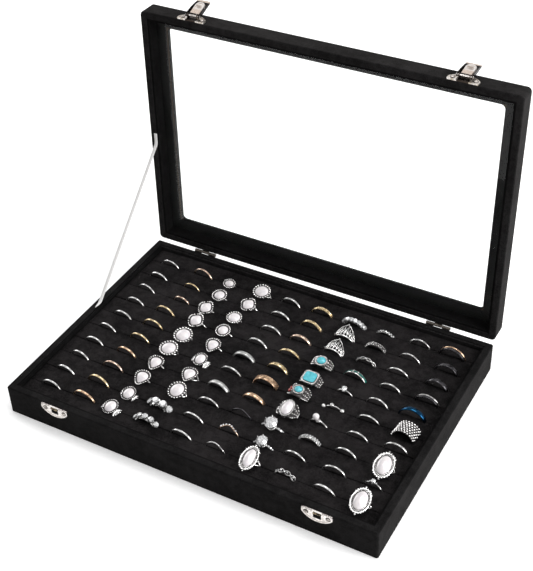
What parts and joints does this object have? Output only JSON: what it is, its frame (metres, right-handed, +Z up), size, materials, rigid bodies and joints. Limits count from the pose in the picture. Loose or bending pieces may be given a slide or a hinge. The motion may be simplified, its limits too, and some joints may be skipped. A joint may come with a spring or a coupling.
{
  "type": "ring display tray",
  "caption": "Velvet-covered shallow case with slotted foam rolls for finger rings and a hinged glass lid held open by a ribbon and shut by turn-over latches.",
  "frame": {"origin": "middle of the tray's underside, on the surface it rests on", "axes": "+X along the case's long side towards the viewer's right, +Y to the hinged back, +Z up"},
  "size_m": [0.35, 0.277, 0.2794],
  "materials": {
    "velvet": "black short-pile velvet, glued on",
    "padded_velvet": "black short-pile velvet over soft foam",
    "board": "bare sawn fibreboard, hidden under the velvet",
    "card": "grey pressed card",
    "underside": "black lining cloth, glued flat",
    "glass": "clear float glass, polished",
    "nickel": "bright nickel plate on stamped steel",
    "spring_wire": "drawn spring wire",
    "ribbon": "white-grey woven satin ribbon"
  },
  "bodies": {
    "tray": {"tray_front_wall": "board", "tray_back_wall": "board", "tray_left_wall": "board", "tray_right_wall": "board", "tray_base_board": "board", "tray_underside_sheet": "underside", "tray_cover": "velvet", "tray_front_lining": "velvet", "tray_back_lining": "velvet", "tray_left_lining": "velvet", "tray_right_lining": "velvet", "insert_board": "card", "foam_roll_01": "padded_velvet", "foam_roll_02": "padded_velvet", "foam_roll_03": "padded_velvet", "foam_roll_04": "padded_velvet", "foam_roll_05": "padded_velvet", "foam_roll_06": "padded_velvet", "foam_roll_07": "padded_velvet", "foam_roll_08": "padded_velvet", "foam_roll_09": "padded_velvet", "foam_roll_10": "padded_velvet", "foam_roll_11": "padded_velvet", "left_hinge_tray_leaf": "nickel", "right_hinge_tray_leaf": "nickel", "left_hinge_pin": "nickel", "right_hinge_pin": "nickel", "left_strike_plate": "nickel", "right_strike_plate": "nickel", "ribbon_stay": "ribbon"},
    "lid": {"lid_hinge_rail": "board", "lid_latch_rail": "board", "lid_left_stile": "board", "lid_right_stile": "board", "lid_window_panel": "board", "lid_glass": "glass", "lid_cover": "velvet", "lid_hinge_lining": "velvet", "lid_latch_lining": "velvet", "lid_left_lining": "velvet", "lid_right_lining": "velvet", "left_hinge_lid_leaf": "nickel", "right_hinge_lid_leaf": "nickel", "left_latch_plate": "nickel", "right_latch_plate": "nickel", "left_latch_pin": "nickel", "right_latch_pin": "nickel", "left_latch_spring": "spring_wire", "right_latch_spring": "spring_wire"},
    "left_lever": {"left_latch_lever": "nickel"},
    "right_lever": {"right_latch_lever": "nickel"}
  },
  "joints": [
    {"name": "lid_hinge", "type": "hinge", "parent": "tray", "child": "lid", "pos_m": [0, 0.1216, 0.0288], "axis": [1, 0, 0], "range_deg": [0, 91.3], "deforming": ["ribbon_stay"]},
    {"name": "left_lever_pivot", "type": "hinge", "parent": "lid", "child": "left_lever", "pos_m": [-0.124, 0.13355, 0.27329], "axis": [1, 0, 0], "range_deg": [-21, 159]},
    {"name": "right_lever_pivot", "type": "hinge", "parent": "lid", "child": "right_lever", "pos_m": [0.124, 0.13355, 0.27329], "axis": [1, 0, 0], "range_deg": [-8, 172]}
  ]
}
